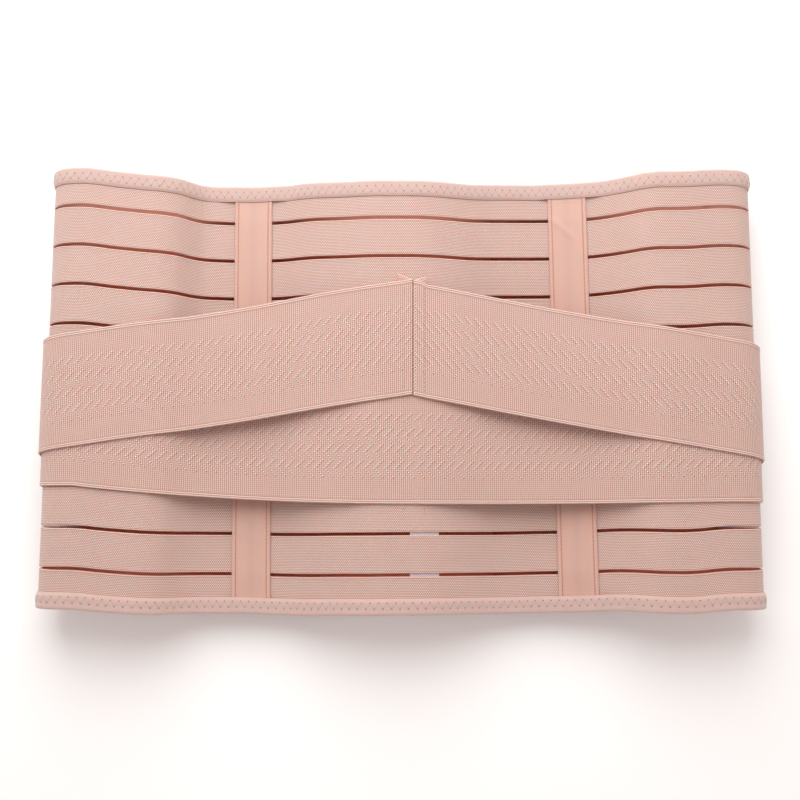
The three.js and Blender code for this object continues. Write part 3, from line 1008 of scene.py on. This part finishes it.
def alongAt(surface, x):
    # distance along a surface to a place on the rear of the belt
    middle = surface["outer"].mean(axis=1)
    rear = middle[:, 2] > 2 * sweeps["hollowHeight"]
    order = np.argsort(middle[rear, 0])
    return float(np.interp(x, middle[rear, 0][order], surface["run"][rear][order]))


def stitchRow(at, low, high, lift):
    # upright stitches in a line across a webbing
    bm = bmesh.new()
    addStitch(bm, (at, low, lift), (at, low + seam["stitchLength"], lift), seam["thread"])
    return repeated(bm, (0, seam["stitchPitch"], 0), max(1, int((high - low) / seam["stitchPitch"])))


def buildSeam(surfaces, cloth):
    thread = threadMaterial("strap thread", seam["threadLook"])
    sunk = threadMaterial("sunk thread", seam["topLook"])
    lift = straps["thickness"] + seam["swell"] * 0.6
    rows = []
    for name in seam["turned"]:
        surface = surfaces[name]
        half = surface["width"] / 2
        line = seam["turned"][name] - seam["slope"] / 2
        mesh = stitchRow(line, seam["stitchMargin"] - half, half - seam["stitchMargin"], lift)
        layPiece(name + "_stitches", mesh, surface, straps["thickness"], sunk)
        rows.append(laid(np.array([[line, 0, straps["thickness"]]]), surface, straps["thickness"])[0][0])
        buildEar(name, surface, cloth)
    surface = surfaces["upper_strap_right"]
    half = surface["width"] / 2
    bm = bmesh.new()
    away = Vector((0, seam["strandMargin"] - half, 0))
    addStitch(bm, Vector(seam["strandStart"]) + away, Vector(seam["strandEnd"]) + away, seam["strand"])
    count = int((2 * half - 1.5 * seam["strandMargin"]) / seam["strandPitch"])
    mesh = repeated(bm, (0, seam["strandPitch"], 0), count)
    layPiece("upper_strap_seam_strands", mesh, surface, straps["thickness"], thread)
    along = np.linspace(0.05, 0.95, 5) * seam["gap"] - seam["gap"]
    across = spaced(seam["cordMargin"] - half, half - seam["cordMargin"], straps["acrossStep"])
    mesh = cutCloth(along, across, seam["cordDepth"], seam["gap"] / 3)
    cord = threadMaterial("seam cord", seam["cordLook"])
    layPiece("upper_strap_seam_cord", mesh, surface, straps["thickness"], cord)
    lower = surfaces["lower_strap"]
    half = lower["width"] / 2
    reach = half - seam["stitchMargin"]
    meshes = [stitchRow(alongAt(lower, x), -reach, reach, straps["thickness"]) for x in rows]
    layPiece("lower_strap_stitches", joinMeshes(meshes), lower, straps["thickness"], sunk)
    below = surfaceOf(seam["bandBelow"])
    middle = lower["outer"][:, 0][np.abs(lower["outer"][:, 0, 0]).argsort()]
    bandMiddle = below["outer"].mean(axis=1)
    strapEdge = middle[middle[:, 2] > 2 * sweeps["hollowHeight"]][0][1]
    edge = strapEdge - bandMiddle[np.abs(bandMiddle[:, 0]).argmin()][1]
    meshes = [stitchRow(alongAt(below, x), edge - seam["runOn"], edge, bands["thickness"]) for x in rows]
    layPiece("band_stitches", joinMeshes(meshes), below, bands["thickness"], sunk)


def buildEar(name, surface, cloth):
    # the tip of a turned end, which stands out above the strap's edge
    ear = seam["ears"][name]
    half = surface["width"] / 2

    def sheared(flat):
        flat = flat.copy()
        flat[:, 1] += straps["rise"][name]["top"] + ear["rise"] * flat[:, 0] / ear["length"]
        flat[:, 2] += seam["earLift"]
        return flat

    along = withEdges(ear["length"], seam["earStep"], straps["edges"][:3])
    across = withEdges(seam["earDepth"], seam["earStep"], straps["edges"]) + half - seam["earDepth"]
    mesh = cutCloth(along, across, seam["earThickness"], seam["earThickness"] / 2)
    layPiece(name + "_ear", mesh, surface, straps["thickness"], cloth, None, sheared)


strapSurfaces, strapCloth = buildStraps()
buildSeam(strapSurfaces, strapCloth)
print("stage: straps and their seam")

# Stay casings

casings = {
    "thickness": 2.3 * mm,
    "rounding": 0.5 * mm,
    "step": 1 * mm,
    "acrossStep": 1.5 * mm,
    "edges": (0, 0.15 * mm, 0.4 * mm, 0.8 * mm, 1.3 * mm, 1.8 * mm, 2.1 * mm, 2.4 * mm, 2.7 * mm, 3.1 * mm),
    "hem": 1.1 * mm,  # middle of the folded hem, from each long edge
    "hemHalf": 1.3 * mm,
    "hemSwell": 0.3 * mm,
    "wrinkle": [(22.5 * mm, 116 * mm), (8 * mm, 103 * mm), (4.5 * mm, 91 * mm)],  # on the right casing
    "wrinkleHalf": 2.2 * mm,
    "wrinkleSwell": 0.5 * mm,
    "look": {
        "high": rgb(211, 177, 164), "low": rgb(200, 164, 151), "deep": rgb(166, 96, 76), "gap": 0.3,
        "cell": 0.6 * mm, "pick": 0.6 * mm, "stagger": 0.0, "seamRow": 2.4 * mm, "seamPitch": 2.6 * mm,
        "seamSides": "ends", "bone": rgb(194, 161, 152), "boneAt": 12.3 * mm, "boneReach": 4 * mm,
        "roughness": 0.75, "sheen": 0.2, "mottle": 0.05, "depth": 0.15 * mm, "bump": 0.5,
    },
}


def awayFrom(points, x, y):
    # distance from a place to a line through points
    place = Vector((x, y))
    away = []
    for start, end in zip(points, points[1:]):
        start, end = Vector(start), Vector(end)
        reach = end - start
        share = min(1.0, max(0.0, (place - start).dot(reach) / reach.length_squared))
        away.append((place - start - share * reach).length)
    return min(away)


def buildCasings():
    cloth = wovenMaterial("casing cloth", casings["look"])
    for name in ("stay_casing_left", "stay_casing_right"):
        surface = surfaceOf(name, 1, outerCount=6)

        def hem(x, y):
            off = min(x, surface["length"] - x) - casings["hem"]
            swell = casings["hemSwell"] * max(0.0, 1 - (off / casings["hemHalf"]) ** 2)
            if name == "stay_casing_right":
                away = awayFrom(casings["wrinkle"], x, y) / casings["wrinkleHalf"]
                swell += casings["wrinkleSwell"] * math.exp(-away * away)
            return swell

        along = withEdges(surface["length"], casings["step"], casings["edges"])
        across = withEdges(surface["width"], casings["acrossStep"], casings["edges"]) - surface["width"] / 2
        mesh = cutCloth(along, across, casings["thickness"], casings["rounding"], hem)
        piece = layPiece(name + "_cloth", mesh, surface, casings["thickness"], cloth, name)


buildCasings()
print("stage: casings")

# Front panels, closure, tabs and label

plain = {
    "step": 5 * mm,
    "acrossStep": 6 * mm,
    "rounding": 0.5 * mm,
    "edges": (0, 0.15 * mm, 0.4 * mm, 0.8 * mm),
    "panelLook": {
        "high": rgb(203, 173, 162), "low": rgb(188, 155, 143), "deep": rgb(140, 92, 78), "gap": 0.4,
        # inner: painted shade and red bounce light on the face inside the belt, seen through the slots
        "inner": rgb(222, 140, 116), "innerShadeFrom": 0.6, "cell": 0.9 * mm, "pick": 0.9 * mm, "stagger": 0.5,
        "seamRow": 3 * mm, "seamPitch": 2.8 * mm, "seamSides": "all", "roughness": 0.9, "sheen": 0.3,
        "mottle": 0.08, "depth": 0.15 * mm, "bump": 0.4,
    },
    "hookLook": {
        "high": rgb(201, 171, 159), "low": rgb(178, 142, 128), "deep": rgb(136, 88, 74), "gap": 0.6,
        "cell": 1.4 * mm, "pick": 1.4 * mm, "stagger": 0.5, "seamRow": 3 * mm, "seamPitch": 2.8 * mm,
        "seamSides": "all", "roughness": 0.9, "sheen": 0.3, "mottle": 0.1, "depth": 0.4 * mm, "bump": 0.7,
    },
    "labelLook": {
        "high": rgb(226, 222, 228), "low": rgb(216, 212, 219), "deep": rgb(210, 210, 220), "gap": 0.3,
        "cell": 0.4 * mm, "pick": 0.4 * mm, "stagger": 0.0, "roughness": 0.5, "sheen": 0.1,
        "mottle": 0.03, "depth": 0.05 * mm, "bump": 0.2,
    },
}


def buildPlain():
    panelCloth = wovenMaterial("panel cloth", plain["panelLook"])
    hookCloth = wovenMaterial("hook cloth", plain["hookLook"])
    labelCloth = wovenMaterial("label cloth", plain["labelLook"])
    rows = (
        ("front_panel_right", -1, panelCloth, "panel_cloth", "folded", "hook_closure"),
        ("front_panel_left", -1, panelCloth, "panel_cloth", "folded", "hook_closure"),
        ("hook_closure", -1, hookCloth, "hook_cloth", "laid", "front_panel_right"),
        ("hook_tab_right", -1, hookCloth, "hook_cloth", "laid", "front_panel_right"),
        ("hook_tab_left", -1, hookCloth, "hook_cloth", "laid", "front_panel_left"),
        ("care_label", 1, labelCloth, "label_cloth", "hung", "bottom_binding"),
    )
    for name, facing, cloth, slot, held, on in rows:
        surface = surfaceOf(name, facing)
        thickness = float(np.linalg.norm(surface["outer"] - surface["inner"], axis=2).mean())
        along = withEdges(surface["length"], plain["step"], plain["edges"])
        across = withEdges(surface["width"], plain["acrossStep"], plain["edges"]) - surface["width"] / 2
        mesh = cutCloth(along, across, thickness, min(plain["rounding"], thickness / 2))
        piece = layPiece(name + "_cloth", mesh, surface, thickness, cloth, name)


buildPlain()
print("stage: front and label")

# Floor and light

studio = {
    "floorSize": 6.0,
    "floorColour": (0.95, 0.95, 0.95, 1),
    "sky": (1.0, 0.9, 0.865, 1),
    "skyStrength": 0.73,
    "keyAt": (-0.08, 0.54, 0.6),
    "keySize": 0.9,
    "keyPower": 7.9,
    "keyColour": (0.96, 1.0, 1.0),
}


def buildStudio():
    bm = bmesh.new()
    bmesh.ops.create_grid(bm, x_segments=1, y_segments=1, size=studio["floorSize"] / 2)
    mesh = bpy.data.meshes.new("floor")
    bm.to_mesh(mesh)
    bm.free()
    floor = bpy.data.objects.new("floor", mesh)
    bpy.context.scene.collection.objects.link(floor)
    pale = bpy.data.materials.new("floor")
    pale.use_nodes = True
    pale.node_tree.nodes["Principled BSDF"].inputs["Base Color"].default_value = studio["floorColour"]
    pale.node_tree.nodes["Principled BSDF"].inputs["Roughness"].default_value = 0.9
    mesh.materials.append(pale)
    world = bpy.data.worlds.new("studio")
    world.use_nodes = True
    sky = world.node_tree.nodes["Background"]
    sky.inputs["Color"].default_value = studio["sky"]
    sky.inputs["Strength"].default_value = studio["skyStrength"]
    bpy.context.scene.world = world
    data = bpy.data.lights.new("key", "AREA")
    data.shape = "DISK"
    data.size = studio["keySize"]
    data.energy = studio["keyPower"]
    data.color = studio["keyColour"]
    key = bpy.data.objects.new("key", data)
    bpy.context.scene.collection.objects.link(key)
    key.location = studio["keyAt"]
    key.rotation_euler = (-Vector(studio["keyAt"])).to_track_quat("-Z", "Y").to_euler()
    bpy.context.scene.view_settings.view_transform = "Standard"


buildStudio()
print("stage: floor and light")
